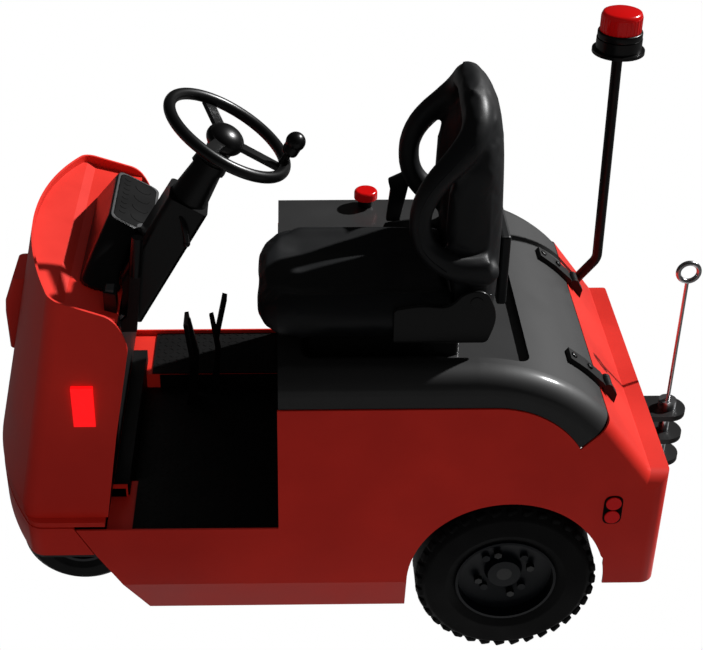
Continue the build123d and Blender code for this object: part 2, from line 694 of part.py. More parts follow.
with BuildPart() as seat_back:
    add(side_slab(back_shell, driver_y + seat_half_width, driver_y - seat_half_width))
    for outer, inner in ((seat_half_width, seat_half_width - wing_thickness),
                         (wing_thickness - seat_half_width, -seat_half_width)):
        add(side_slab(back_wing, driver_y + outer, driver_y + inner))
        add(side_slab(wing_slot, driver_y + outer, driver_y + inner), mode=Mode.SUBTRACT)
    with BuildSketch(cross_plane(0)):
        with BuildLine():
            Polyline(*[(driver_y + across, z) for across, z in headrest_outline], close=True)
        make_face()
    extrude(amount=400, mode=Mode.INTERSECT)
seat_back.part.label = "seat_back"
export_step(seat_back.part, "parts/seat_back.step")

# Seat irons: hip plates that join the cushion and the back on both sides
iron_thickness = 8
with BuildPart() as seat_irons:
    for side in (1, -1):
        edge = driver_y + side * (seat_half_width + seat_gap)
        faces_y = sorted((edge, edge + side * iron_thickness), reverse=True)
        add(side_slab([(274, 818), (274, 926), (134, 926), (134, 954), (73, 954), (73, 818)], *faces_y))
seat_irons.part.label = "seat_irons"
export_step(seat_irons.part, "parts/seat_irons.step")

# Emergency stop on the hood's far shoulder: a collar and a mushroom head
stop_x = 300
stop_y = -345
with BuildPart() as emergency_stop:
    add(post(stop_x, stop_y, hood_z, hood_z + 22, 17))
    add(post(stop_x, stop_y, hood_z + 22, hood_z + 44, 29))
    fillet(emergency_stop.faces().sort_by(Axis.Z)[-1].outer_wire().edges(), 8)
emergency_stop.part.label = "emergency_stop"
export_step(emergency_stop.part, "parts/emergency_stop.step")

# Steering column: everything on it is drawn along its tilted axis, down from the hand wheel
axis_down = (sin(radians(column_tilt)), -cos(radians(column_tilt)))


def column_plane(reach, turn=0):
    """A plane square to the column, reach below the hand wheel's centre: x right, then turned."""
    origin = at(wheel_centre[0] + axis_down[0] * reach, driver_y, wheel_centre[1] + axis_down[1] * reach)
    downward = Vector(axis_down[0], 0, axis_down[1])
    across = Vector(0, -1, 0).rotate(Axis((0, 0, 0), downward), turn)
    return Plane(origin=origin, x_dir=across, z_dir=downward)


collar_start = 62
collar_end = 168
cover_end = 470

def column_form(margin):
    """The column's round collar and its tapered box cover, grown by margin."""
    with BuildPart() as form:
        with BuildSketch(column_plane(collar_start)):
            Circle(30 + margin)
        with BuildSketch(column_plane(collar_end)):
            Circle(42 + margin)
        loft()
        with BuildSketch(column_plane(collar_end)):
            RectangleRounded(98 + 2 * margin, 92 + 2 * margin, 14 + margin)
        with BuildSketch(column_plane(cover_end)):
            RectangleRounded(110 + 2 * margin, 98 + 2 * margin, 14 + margin)
        loft()
    return form.part


with BuildPart() as column_cover:
    add(column_form(0))
    add(side_slab([(kick_foot_x, deck_z), (tray_rear_x, tray_under_z), (tray_rear_x - 1, tray_under_z + 100),
                   (tray_rear_x + 300, tray_under_z + 100), (kick_foot_x + 300, deck_z)], driver_y + 100,
                  driver_y - 100), mode=Mode.SUBTRACT)
    with BuildSketch(column_plane(0)):
        Circle(12 + running_clearance)
    extrude(amount=collar_start + 40, mode=Mode.SUBTRACT)
column_cover.part.label = "column_cover"
export_step(column_cover.part, "parts/column_cover.step")

# Hand wheel: a round rim, a domed hub with its shaft, three spokes and a spinner knob
spoke_angles = (90, 200, 340)
knob_angle = 90
knob_radius = 18
with BuildPart() as steering_wheel:
    with Locations(column_plane(0)):
        Torus(hand_rim_radius, hand_rim_thickness / 2)
    with BuildSketch(column_plane(2)):
        Circle(36)
    extrude(amount=46, taper=12)
    with BuildSketch(column_plane(20)):
        Circle(12)
    extrude(amount=collar_start + 15)
    for angle in spoke_angles:
        with BuildSketch(column_plane(6, angle)):
            with Locations((hand_rim_radius / 2, 0)):
                Rectangle(hand_rim_radius, 26)
        extrude(amount=10)
    knob_seat = column_plane(0, knob_angle)
    knob_foot = knob_seat.origin + knob_seat.x_dir * (hand_rim_radius - 8)
    with BuildSketch(Plane(origin=knob_foot, x_dir=knob_seat.x_dir, z_dir=knob_seat.z_dir)):
        Circle(8)
    extrude(amount=-34)
    with BuildSketch(Plane(origin=knob_foot - knob_seat.z_dir * 25, x_dir=knob_seat.x_dir,
                           z_dir=knob_seat.z_dir)):
        Circle(knob_radius)
    extrude(amount=-34)
    knob_ends = [e for e in steering_wheel.edges().filter_by(GeomType.CIRCLE)
                 if abs(e.radius - knob_radius) < 0.01]
    fillet(knob_ends, knob_radius / 2)
steering_wheel.part.label = "steering_wheel"
export_step(steering_wheel.part, "parts/steering_wheel.step")

# Instrument pod: a hooded housing that grows from a wide foot on the tray to a tilted face
pod_face_centre = (835, 988)
pod_tilt = 30
with BuildPart() as instrument_pod:
    foot = Plane(origin=at(902, 6, tray_line[0][1] + tray_slope * (902 - tray_rear_x)), x_dir=(0, 1, 0),
                 z_dir=(-sin(radians(17)), 0, cos(radians(17))))
    with BuildSketch(foot):
        RectangleRounded(430, 92, 30)
    face = Plane(origin=at(pod_face_centre[0], 6, pod_face_centre[1]), x_dir=(0, 1, 0),
                 z_dir=(-sin(radians(pod_tilt)), 0, cos(radians(pod_tilt))))
    with BuildSketch(face):
        RectangleRounded(222, 104, 24)
    loft()
    add(side_slab([(tray_line[0][0] - 40, tray_line[0][1] - 40 * tray_slope),
                   (tray_line[1][0] + 60, tray_line[1][1] + 60 * tray_slope), (tray_line[1][0] + 60, 700),
                   (tray_rear_x - 40, 700)], 300, -300), mode=Mode.SUBTRACT)
    add(column_form(2), mode=Mode.SUBTRACT)
    add(dash_tray.part, mode=Mode.SUBTRACT)
instrument_pod.part.label = "instrument_pod"
export_step(instrument_pod.part, "parts/instrument_pod.step")

# Parking brake: a flat lever on a bracket against the kick panel
lever_y = 223
with BuildPart() as parking_brake_lever:
    add(side_slab([(800, 1014), (822, 1014), (845, 830), (860, 815), (860, 790), (826, 790)], lever_y + 6,
                  lever_y - 6))
    add(side_slab([(kick_foot_x, deck_z), (tray_rear_x, tray_under_z), (tray_rear_x, 1100), (1000, 1100),
                   (1000, deck_z)], lever_y + 30, lever_y - 30), mode=Mode.SUBTRACT)
parking_brake_lever.part.label = "parking_brake_lever"
export_step(parking_brake_lever.part, "parts/parking_brake_lever.step")

# Switch box on the tray's left rear corner
with BuildPart() as switch_box:
    box_line = [(858, tray_line[0][1] + 3 * tray_slope), (884, tray_line[0][1] + 29 * tray_slope), (884, 928),
                (858, 922)]
    add(side_slab(box_line, 290, 250))
switch_box.part.label = "switch_box"
export_step(switch_box.part, "parts/switch_box.step")

# Pedals: a brake pedal and a drive pedal on bent arms from the well's floor
with BuildPart() as pedals:
    add(side_slab([(705, well_z), (760, well_z), (752, 350), (742, 486), (752, 584), (738, 584), (720, 486),
                   (728, 360), (705, 350)], -140, -152))
    add(side_slab([(742, 480), (754, 584), (744, 586), (730, 482)], -115, -178))
    add(side_slab([(650, well_z), (700, well_z), (696, 345), (682, 470), (694, 566), (684, 570), (668, 470),
                   (676, 350), (650, 345)], -190, -200))
    add(side_slab([(684, 500), (660, 618), (648, 614), (672, 498)], -182, -214))
pedals.part.label = "pedals"
export_step(pedals.part, "parts/pedals.step")

# Headlamp: a single housing on the cowl's centre line
lamp_half_width = 58
with BuildPart() as headlamp:
    add(side_slab([(1080, 824), (1120, 824), (1143, 763), (1146, 733), (1145, 638), (1080, 630)],
                  lamp_half_width, -lamp_half_width))
    front_edges = [e for e in headlamp.edges() if e.center().X > rear_axle_x + 1118 and abs(e.center().Y) > 50]
    fillet(front_edges, 12)
    add(cowl_form(0, deck_z, cowl_top_z), mode=Mode.SUBTRACT)
headlamp.part.label = "headlamp"
export_step(headlamp.part, "parts/headlamp.step")

# Side lamps of the cowl and round lamps of the tail, sunk a little into their sheets
marker_window = {"rear": 911, "front": 960, "bottom": 639, "top": 741}
with BuildPart() as marker_lamps:
    marker_z = (marker_window["bottom"] + marker_window["top"]) / 2
    for side in (1, -1):
        lens_y = cowl_base_y - cowl_side_lean * (marker_z - deck_z)
        outer = side * (lens_y + 6)
        add(block((marker_window["rear"] + 1, marker_window["front"] - 1), sorted((outer, outer - side * 16)),
                  (marker_window["bottom"] + 1, marker_window["top"] - 1)))
    add(cowl_form(0, deck_z, cowl_top_z), mode=Mode.SUBTRACT)
marker_lamps.part.label = "marker_lamps"
export_step(marker_lamps.part, "parts/marker_lamps.step")

tail_lamp_x = -220
tail_lamp_zs = (410, 448)
tail_lamp_radius = 17
with BuildPart() as tail_lamps:
    for side in (1, -1):
        for z in tail_lamp_zs:
            ends = sorted((side * half_width, side * (half_width + 4)), reverse=True)
            add(disc(tail_lamp_x, z, *ends, tail_lamp_radius))
tail_lamps.part.label = "tail_lamps"
export_step(tail_lamps.part, "parts/tail_lamps.step")

# Hitch: three rounded tow plates on a backing block, and the drop pin with its lifting ring
pin_x = -433
pin_radius = 12.5
plate_radius = hitch_reach + pin_x
plate_tops = (412, 343, 275)
plate_thickness = 14
with BuildPart() as hitch_plates:
    for top in plate_tops:
        with BuildSketch(level_plane(top - plate_thickness)):
            with Locations((pin_x, 0)):
                Circle(plate_radius)
            with Locations(((pin_x + tail_rear_x - 12) / 2, 0)):
                Rectangle(tail_rear_x - 12 - pin_x, 2 * plate_radius)
            with Locations((pin_x, 0)):
                Circle(pin_radius + 0.6, mode=Mode.SUBTRACT)
        extrude(amount=plate_thickness)
    add(block((tail_rear_x - 12, tail_rear_x), (-70, 70), (240, 460)))
hitch_plates.part.label = "hitch_plates"
export_step(hitch_plates.part, "parts/hitch_plates.step")

ring_radius = 24
ring_wire = 6
rod_top_z = 771
with BuildPart() as hitch_pin:
    add(post(pin_x, 0, plate_tops[2] - plate_thickness - 8, plate_tops[0] + 10, pin_radius))
    add(post(pin_x, 0, plate_tops[0] + 0.3, plate_tops[0] + 22, pin_radius + 9))
    add(post(pin_x, 0, plate_tops[0] + 22, rod_top_z, 4.5))
    with Locations(Location(at(pin_x, 0, rod_top_z + ring_radius), (90, 0, 0))):
        Torus(ring_radius, ring_wire)
hitch_pin.part.label = "hitch_pin"
export_step(hitch_pin.part, "parts/hitch_pin.step")

# Beacon: a bent pole up from the tail's far side, a flanged base and a ribbed lens
pole_y = -348
pole_radius = 12.5
pole_x = -289
pole_top_z = 1196
pole_bend = (-300, pole_y, 632)
pole_foot = (-243, pole_y, 558)
with BuildPart() as beacon_pole:
    with BuildLine():
        FilletPolyline(at(*pole_foot), at(*pole_bend), at(pole_x, pole_y, pole_top_z), radius=40)
    with BuildSketch(Plane(origin=at(*pole_foot),
                           z_dir=(pole_bend[0] - pole_foot[0], 0, pole_bend[2] - pole_foot[2]))):
        Circle(pole_radius)
    sweep()
    add(post(pole_x, pole_y, pole_top_z, pole_top_z + 10, pole_radius + 5), mode=Mode.SUBTRACT)
    add(tail_form(0, 0), mode=Mode.SUBTRACT)
beacon_pole.part.label = "beacon_pole"
export_step(beacon_pole.part, "parts/beacon_pole.step")

flange_radius = 62
lens_radius = 50
lens_top_z = 1312
with BuildPart() as beacon_base:
    add(post(pole_x, pole_y, pole_top_z, pole_top_z + 8, flange_radius))
    add(post(pole_x, pole_y, pole_top_z + 8, pole_top_z + 36, lens_radius + 4))
beacon_base.part.label = "beacon_base"
export_step(beacon_base.part, "parts/beacon_base.step")
with BuildPart() as beacon_lens:
    add(post(pole_x, pole_y, pole_top_z + 36, lens_top_z, lens_radius))
    fillet(beacon_lens.faces().sort_by(Axis.Z)[-1].outer_wire().edges(), 12)
beacon_lens.part.label = "beacon_lens"
export_step(beacon_lens.part, "parts/beacon_lens.step")
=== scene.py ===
"""Airport baggage tug: finishes, padded seat, treads, fasteners and light around the fixed model."""
from math import cos, pi, radians, sin

import bmesh
import bpy
from mathutils import Matrix, Vector


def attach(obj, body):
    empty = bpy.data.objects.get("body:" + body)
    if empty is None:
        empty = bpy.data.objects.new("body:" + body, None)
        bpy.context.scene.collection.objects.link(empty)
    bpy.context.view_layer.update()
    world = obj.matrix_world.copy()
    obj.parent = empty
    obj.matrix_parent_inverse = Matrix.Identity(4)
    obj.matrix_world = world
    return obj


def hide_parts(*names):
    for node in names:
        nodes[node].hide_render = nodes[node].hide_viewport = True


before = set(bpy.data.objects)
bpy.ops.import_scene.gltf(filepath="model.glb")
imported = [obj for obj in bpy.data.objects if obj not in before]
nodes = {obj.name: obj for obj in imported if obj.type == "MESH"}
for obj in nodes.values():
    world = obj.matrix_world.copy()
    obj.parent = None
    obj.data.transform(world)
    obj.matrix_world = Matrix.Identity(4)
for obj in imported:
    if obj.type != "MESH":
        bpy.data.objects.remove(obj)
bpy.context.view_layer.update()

rear_axle_x = -0.354


# Camera: the photographer stood to the tug's left, above it, with a long lens. Focal length,
# principal point, place and angles were fitted to the tug's own edges.
photo_width = 703
photo_height = 650
focal_pixels = 1464.7
principal = (305.5, 334.1)
yaw = radians(0.797)
pitch = radians(33.079)
sensor_width = 36
eye_from_axle = Vector((0.4959, 2.9107, 2.5278))
camera_data = bpy.data.cameras.new("camera")
camera_data.sensor_width = sensor_width
camera_data.lens = sensor_width * focal_pixels / photo_width
camera_data.shift_x = (photo_width / 2 - principal[0]) / photo_width
camera_data.shift_y = (principal[1] - photo_height / 2) / photo_width
camera = bpy.data.objects.new("camera", camera_data)
bpy.context.scene.collection.objects.link(camera)
camera.location = eye_from_axle + Vector((rear_axle_x, 0, 0))
sight = Vector((-sin(yaw) * cos(pitch), -cos(yaw) * cos(pitch), -sin(pitch)))
camera.rotation_euler = sight.to_track_quat("-Z", "Y").to_euler()
bpy.context.scene.camera = camera
bpy.context.scene.view_settings.view_transform = "Standard"


# Studio: a floor and sky that read white to the camera, a low hard sun from behind the tug's
# far side, which leaves the near side in shade, and a weak fill from the photographer's side.
def node_material(name, base, rough, metal=0.0, gloss=0.5):
    """A material whose Principled shader has a plain colour, roughness, metalness and gloss."""
    finish = bpy.data.materials.new(name)
    finish.use_nodes = True
    shader = finish.node_tree.nodes["Principled BSDF"]
    shader.inputs["Base Color"].default_value = (*base, 1)
    shader.inputs["Roughness"].default_value = rough
    shader.inputs["Metallic"].default_value = metal
    shader.inputs["Specular IOR Level"].default_value = gloss
    finish.diffuse_color = (*base, 1)
    return finish


def ground(name, size, height, albedo, mirrored):
    """A ground sheet for the studio: white to the camera, and mirrored as bright as asked."""
    bpy.ops.mesh.primitive_plane_add(size=1, location=(0, 0, height))
    sheet = bpy.context.active_object
    sheet.name = name
    sheet.scale = (size[0], size[1], 1)
    pale = node_material(name + "_pale", (albedo, albedo, albedo), 0.9, gloss=0.0)
    tree = pale.node_tree
    glow = tree.nodes.new("ShaderNodeEmission")
    mix = tree.nodes.new("ShaderNodeMixShader")
    route = tree.nodes.new("ShaderNodeLightPath")
    share = tree.nodes.new("ShaderNodeMath")
    share.operation = "MULTIPLY_ADD"
    share.inputs[1].default_value = mirrored
    tree.links.new(route.outputs["Is Glossy Ray"], share.inputs[0])
    tree.links.new(route.outputs["Is Camera Ray"], share.inputs[2])
    tree.links.new(share.outputs[0], mix.inputs[0])
    tree.links.new(tree.nodes["Principled BSDF"].outputs[0], mix.inputs[1])
    tree.links.new(glow.outputs[0], mix.inputs[2])
    tree.links.new(mix.outputs[0], tree.nodes["Material Output"].inputs["Surface"])
    sheet.data.materials.append(pale)


ground("studio_floor", size=(30, 30), height=0, albedo=0.1, mirrored=0.0)
ground("studio_patch", size=(2.0, 1.3), height=0.0004, albedo=0.1, mirrored=0.9)

sky_for_shade = 0.17
sky_for_gloss = 0.02
world = bpy.data.worlds.new("studio")
bpy.context.scene.world = world
world.use_nodes = True
world_nodes = world.node_tree.nodes
world_links = world.node_tree.links
path = world_nodes.new("ShaderNodeLightPath")
shade = world_nodes.new("ShaderNodeMapRange")
shade.inputs["To Min"].default_value = sky_for_gloss
shade.inputs["To Max"].default_value = sky_for_shade
level = world_nodes.new("ShaderNodeMapRange")
level.inputs["To Max"].default_value = 1.0
world_links.new(path.outputs["Is Diffuse Ray"], shade.inputs["Value"])
world_links.new(path.outputs["Is Camera Ray"], level.inputs["Value"])
world_links.new(shade.outputs["Result"], level.inputs["To Min"])
world_links.new(level.outputs["Result"], world_nodes["Background"].inputs["Strength"])
world_nodes["Background"].inputs["Color"].default_value = (1, 1, 1, 1)


def lamp(name, kind, place, aim, size, power):
    """A sun or a square soft lamp at a place, turned towards a point."""
    lamp_data = bpy.data.lights.new(name, kind)
    if kind == "SUN":
        lamp_data.angle = size
    else:
        lamp_data.size = size
    lamp_data.energy = power
    holder = bpy.data.objects.new(name, lamp_data)
    bpy.context.scene.collection.objects.link(holder)
    holder.location = place
    holder.rotation_euler = (Vector(aim) - Vector(place)).to_track_quat("-Z", "Y").to_euler()


lamp("low_sun", "SUN", place=(-8.0, -4.0, 7.2), aim=(0, 0, 0), size=0.03, power=5.6)
lamp("fill_lamp", "AREA", place=(-0.8, 4.6, 1.8), aim=(0, 0, 0.5), size=2.5, power=32)
bpy.data.objects["fill_lamp"].visible_glossy = False


# Red sheet metal: pressed and folded steel in gloss enamel, welded and bolted to the frame. It
# has the faint ripple of sprayed paint and duller patches, and makes the cowl, dash tray, deck,
# bumper, sides, tail, floor and headlamp housing.
def painted(name, base, rough, ripple, gloss=0.35, metal=0.0):
    """Enamel on steel: fine orange peel, a slow drift in tone and duller patches."""
    finish = node_material(name, base, rough, metal, gloss)
    tree = finish.node_tree
    shader = tree.nodes["Principled BSDF"]
    place = tree.nodes.new("ShaderNodeTexCoord")
    peel = tree.nodes.new("ShaderNodeTexNoise")
    peel.inputs["Scale"].default_value = 320
    peel.inputs["Detail"].default_value = 3
    bump = tree.nodes.new("ShaderNodeBump")
    bump.inputs["Strength"].default_value = ripple
    bump.inputs["Distance"].default_value = 0.0004
    drift = tree.nodes.new("ShaderNodeTexNoise")
    drift.inputs["Scale"].default_value = 3.5
    drift.inputs["Detail"].default_value = 5
    tones = tree.nodes.new("ShaderNodeValToRGB")
    tones.color_ramp.elements[0].color = (base[0] * 0.86, base[1] * 0.8, base[2] * 0.8, 1)
    tones.color_ramp.elements[1].color = (min(base[0] * 1.1, 1), base[1] * 1.2, base[2] * 1.2, 1)
    tones.color_ramp.elements[0].position = 0.35
    tones.color_ramp.elements[1].position = 0.7
    dull = tree.nodes.new("ShaderNodeMapRange")
    dull.inputs["To Min"].default_value = rough * 0.85
    dull.inputs["To Max"].default_value = rough * 1.35
    for texture in (peel, drift):
        tree.links.new(place.outputs["Object"], texture.inputs["Vector"])
    tree.links.new(peel.outputs["Fac"], bump.inputs["Height"])
    tree.links.new(bump.outputs["Normal"], shader.inputs["Normal"])
    tree.links.new(drift.outputs["Fac"], tones.inputs["Fac"])
    tree.links.new(tones.outputs["Color"], shader.inputs["Base Color"])
    tree.links.new(drift.outputs["Fac"], dull.inputs["Value"])
    tree.links.new(dull.outputs["Result"], shader.inputs["Roughness"])
    return finish


def finish_node(name, finish):
    """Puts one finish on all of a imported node's material slots."""
    piece = nodes[name]
    if not piece.data.materials:
        piece.data.materials.append(finish)
    for index in range(len(piece.material_slots)):
        piece.material_slots[index].material = finish


red_enamel = painted("red_enamel", (0.60, 0.021, 0.012), 0.42, 0.2, gloss=0.28)
for name in ("cowl", "dash_tray", "front_deck", "front_bumper", "body_side_left", "body_side_right",
             "tail_shell", "floor_pan", "headlamp"):
    finish_node(name, red_enamel)


# Black steel: the frame, steering head, drive axle, bulkheads, hitch, hinges, beacon pole, pedals
# and brake lever. They are cut and bent bar and plate, welded or bolted, in satin black paint.
black_steel = painted("black_steel", (0.002, 0.002, 0.0021), 0.42, 0.3)
for name in ("frame_rail_left", "frame_rail_right", "steering_head", "drive_axle", "kick_panel",
             "seat_bulkhead", "hitch_plates", "beacon_pole", "hinge_brackets", "hinge_straps",
             "steering_knuckle", "parking_brake_lever", "pedals"):
    finish_node(name, black_steel)


# Moulded black plastic: column cover, hand wheel, instrument pod, switch box, seat pan and beacon
# base, injection moulded with a fine leathered grain and screwed on. The seat's irons are steel
# in the same satin black.
def moulded(name, base, rough, grain_scale, grain_depth, gloss=0.4):
    """Moulded plastic with a fine leathered grain and slight gloss changes."""
    finish = node_material(name, base, rough, gloss=gloss)
    tree = finish.node_tree
    shader = tree.nodes["Principled BSDF"]
    place = tree.nodes.new("ShaderNodeTexCoord")
    cells = tree.nodes.new("ShaderNodeTexVoronoi")
    cells.inputs["Scale"].default_value = grain_scale
    bump = tree.nodes.new("ShaderNodeBump")
    bump.inputs["Strength"].default_value = 0.3
    bump.inputs["Distance"].default_value = grain_depth
    haze = tree.nodes.new("ShaderNodeTexNoise")
    haze.inputs["Scale"].default_value = 9
    sheen = tree.nodes.new("ShaderNodeMapRange")
    sheen.inputs["To Min"].default_value = rough * 0.85
    sheen.inputs["To Max"].default_value = rough * 1.25
    for texture in (cells, haze):
        tree.links.new(place.outputs["Object"], texture.inputs["Vector"])
    tree.links.new(cells.outputs["Distance"], bump.inputs["Height"])
    tree.links.new(bump.outputs["Normal"], shader.inputs["Normal"])
    tree.links.new(haze.outputs["Fac"], sheen.inputs["Value"])
    tree.links.new(sheen.outputs["Result"], shader.inputs["Roughness"])
    return finish


black_moulding = moulded("black_moulding", (0.0025, 0.0025, 0.0026), 0.3, 900, 0.0001)
for name in ("instrument_pod", "column_cover", "steering_wheel", "switch_box", "beacon_base",
             "seat_pan", "seat_irons"):
    finish_node(name, black_moulding)


# Hood: one deep dark grey moulding with a satin grain under a thin sheen. It is hinged at the
# tail and carries the seat.
hood_moulding = moulded("hood_moulding", (0.009, 0.009, 0.0092), 0.58, 700, 0.00012, gloss=0.5)
hood_shader = hood_moulding.node_tree.nodes["Principled BSDF"]
hood_shader.inputs["Coat Weight"].default_value = 0.5
hood_shader.inputs["Coat Roughness"].default_value = 0.16
finish_node("hood", hood_moulding)


# Battery: a dark painted steel case that stands on the frame rails under the hood. It is seen
# only from below and with the hood open.
finish_node("battery", painted("battery_case", (0.03, 0.03, 0.035), 0.55, 0.3))


# Red lenses: clear red plastic with a prism pattern, over reflectors, screwed on at the cowl's
# sides, the tail and the beacon. The emergency stop's button is the same red plastic.
# The glow is painted light: an emission that stands in for the light the reflectors give back.
def lens_plastic(name, base, glow):
    """Clear red plastic with a prism pattern, and a painted glow for the light it gives back."""
    finish = node_material(name, base, 0.2)
    tree = finish.node_tree
    shader = tree.nodes["Principled BSDF"]
    shader.inputs["Emission Color"].default_value = (1, 0.006, 0.008, 1)
    shader.inputs["Emission Strength"].default_value = glow
    place = tree.nodes.new("ShaderNodeTexCoord")
    prisms = tree.nodes.new("ShaderNodeTexVoronoi")
    prisms.inputs["Scale"].default_value = 220
    bump = tree.nodes.new("ShaderNodeBump")
    bump.inputs["Strength"].default_value = 0.25
    bump.inputs["Distance"].default_value = 0.0006
    tree.links.new(place.outputs["Object"], prisms.inputs["Vector"])
    tree.links.new(prisms.outputs["Distance"], bump.inputs["Height"])
    tree.links.new(bump.outputs["Normal"], shader.inputs["Normal"])
    return finish


# The markers get a strong painted glow; the tail lamps, beacon and stop button a faint one.
marker_lens = lens_plastic("marker_lens", (0.85, 0.004, 0.006), 0.85)
red_lens = lens_plastic("red_lens", (0.5, 0.002, 0.002), 0.05)
finish_node("marker_lamps", marker_lens)
for name in ("tail_lamps", "beacon_lens", "emergency_stop"):
    finish_node(name, red_lens)


# Hitch pin: a plated steel rod with its lifting ring, dropped through the hitch plates and held
# there by its own weight.
finish_node("hitch_pin", painted("plated_steel", (0.55, 0.55, 0.56), 0.25, 0.2, metal=1.0))


# Seat cover: black vinyl sewn over foam, on a moulded pan and shell bolted to the hood. A cover
# starts as a closed form a little under size, is blown up as cloth with no gravity, and is held
# within a few millimetres of where it began.
vinyl = moulded("seat_vinyl", (0.004, 0.0044, 0.005), 0.46, 520, 0.0003)
seat_y = 142


def local(x, y, z):
    """A point from the rear axle in millimetres, as a place in the frame in metres."""
    return Vector((x / 1000 + rear_axle_x, y / 1000, z / 1000))


def shaded(piece, smooth):
    """Sets every face of a piece smooth or flat."""
    for polygon in piece.data.polygons:
        polygon.use_smooth = smooth


def as_mesh(form, name):
    """Turns an edit mesh into a named mesh and frees it."""
    mesh = bpy.data.meshes.new(name)
    form.to_mesh(mesh)
    form.free()
    return mesh


def worked_out(holder):
    """An object's final shape as a plain mesh. The object itself is removed."""
    bpy.context.view_layer.update()
    graph = bpy.context.evaluated_depsgraph_get()
    mesh = bpy.data.meshes.new_from_object(holder.evaluated_get(graph))
    bpy.data.objects.remove(holder)
    return mesh


def new_piece(name, mesh, finish):
    """Links a mesh as an object with one finish, smooth shaded."""
    piece = bpy.data.objects.new(name, mesh)
    bpy.context.scene.collection.objects.link(piece)
    mesh.materials.clear()
    mesh.materials.append(finish)
    shaded(piece, True)
    return piece


def shown(piece, body):
    """Rides a piece on its body."""
    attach(piece, body)


def merged(name, pieces):
    """Joins objects into the first one's mesh under a new name."""
    bpy.ops.object.select_all(action="DESELECT")
    for piece in pieces:
        piece.select_set(True)
    bpy.context.view_layer.objects.active = pieces[0]
    bpy.ops.object.join()
    pieces[0].name = name
    return pieces[0]


def apply_modifier(piece, kind, **values):
    """Adds one modifier, sets its values and applies it."""
    modifier = piece.modifiers.new(kind.lower(), kind)
    for key, value in values.items():
        setattr(modifier, key, value)
    bpy.ops.object.select_all(action="DESELECT")
    piece.select_set(True)
    bpy.context.view_layer.objects.active = piece
    bpy.ops.object.modifier_apply(modifier=modifier.name)


cloth_frames = 14


def blown_up(piece, shrink, pressure, cap, voxel, ease):
    """Remeshes a closed form, blows it up as cloth and holds each point within cap."""
    apply_modifier(piece, "REMESH", mode="VOXEL", voxel_size=voxel)
    apply_modifier(piece, "SMOOTH", factor=0.5, iterations=ease)
    start = [vertex.co - vertex.normal * shrink for vertex in piece.data.vertices]
    for vertex, place in zip(piece.data.vertices, start):
        vertex.co = place
    cloth = piece.modifiers.new("air", "CLOTH")
    cloth.settings.use_pressure = True
    cloth.settings.uniform_pressure_force = pressure
    cloth.settings.effector_weights.gravity = 0
    cloth.settings.quality = 4
    cloth.collision_settings.use_collision = False
    for step in range(1, cloth_frames + 1):
        bpy.context.scene.frame_set(step)
    bpy.ops.object.modifier_apply(modifier=cloth.name)
    bpy.context.scene.frame_set(1)
    for vertex, place in zip(piece.data.vertices, start):
        move = vertex.co - place
        if move.length > cap:
            vertex.co = place + move.normalized() * cap
    apply_modifier(piece, "SMOOTH", factor=0.5, iterations=2)
    shaded(piece, True)


def roll(name, points, radii, finish, rings=4):
    """A closed tube along a smooth path, with its own radius at each point, as a mesh."""
    curve = bpy.data.curves.new(name, "CURVE")
    curve.dimensions = "3D"
    curve.bevel_depth = 1
    curve.bevel_resolution = rings
    curve.use_fill_caps = True
    spline = curve.splines.new("NURBS")
    spline.points.add(len(points) - 1)
    for point, place, radius in zip(spline.points, points, radii):
        point.co = (*place, 1)
        point.radius = radius
    spline.order_u = 3
    spline.use_endpoint_u = True
    spline.resolution_u = 8
    holder = bpy.data.objects.new(name, curve)
    bpy.context.scene.collection.objects.link(holder)
    return new_piece(name, worked_out(holder), finish)


def skinned(name, sections, finish):
    """A closed skin through a stack of rings that all have as many points."""
    form = bmesh.new()
    rings = [[form.verts.new(place) for place in ring] for ring in sections]
    count = len(rings[0])
    for low, high in zip(rings, rings[1:]):
        for index in range(count):
            after = (index + 1) % count
            form.faces.new((low[index], low[after], high[after], high[index]))
    form.faces.new(list(reversed(rings[0])))
    form.faces.new(rings[-1])
    bmesh.ops.recalc_face_normals(form, faces=form.faces)
    return new_piece(name, as_mesh(form, name), finish)


# Seat back: a moulded shell with a broad headrest, and a thick padded rim on each side that
# leaves the headrest, sweeps forward round an open slot and comes back to the shell's foot.
# A station is its height, the places of its rear, middle front and flanks, and its half width.
back_stations = (
    (858, 50, 126, 146, 152), (900, 47, 128, 152, 160), (960, 45, 118, 160, 158),
    (1063, 45, 100, 172, 152), (1150, 49, 96, 170, 154), (1200, 52, 98, 160, 158),
    (1250, 56, 100, 142, 150), (1300, 64, 106, 130, 132), (1334, 84, 114, 130, 106),
    (1350, 104, 124, 130, 76))


def back_ring(z, rear, middle, flank, half):
    """One level of the back: a round rear, full flanks and a hollow front."""
    side = [(rear, 0), (rear + 3, half * 0.45), (rear + 14, half * 0.82), (rear + 34, half - 4),
            ((rear + flank) / 2 + 6, half), (flank - 6, half - 6), (flank, half - 20),
            (flank - 10, half - 40), ((flank + middle) / 2 + 3, half * 0.55), (middle, half * 0.25)]
    whole = side + [(middle, 0)] + [(x, -y) for x, y in reversed(side[1:])]
    return [local(x, seat_y + y, z) for x, y in whole]


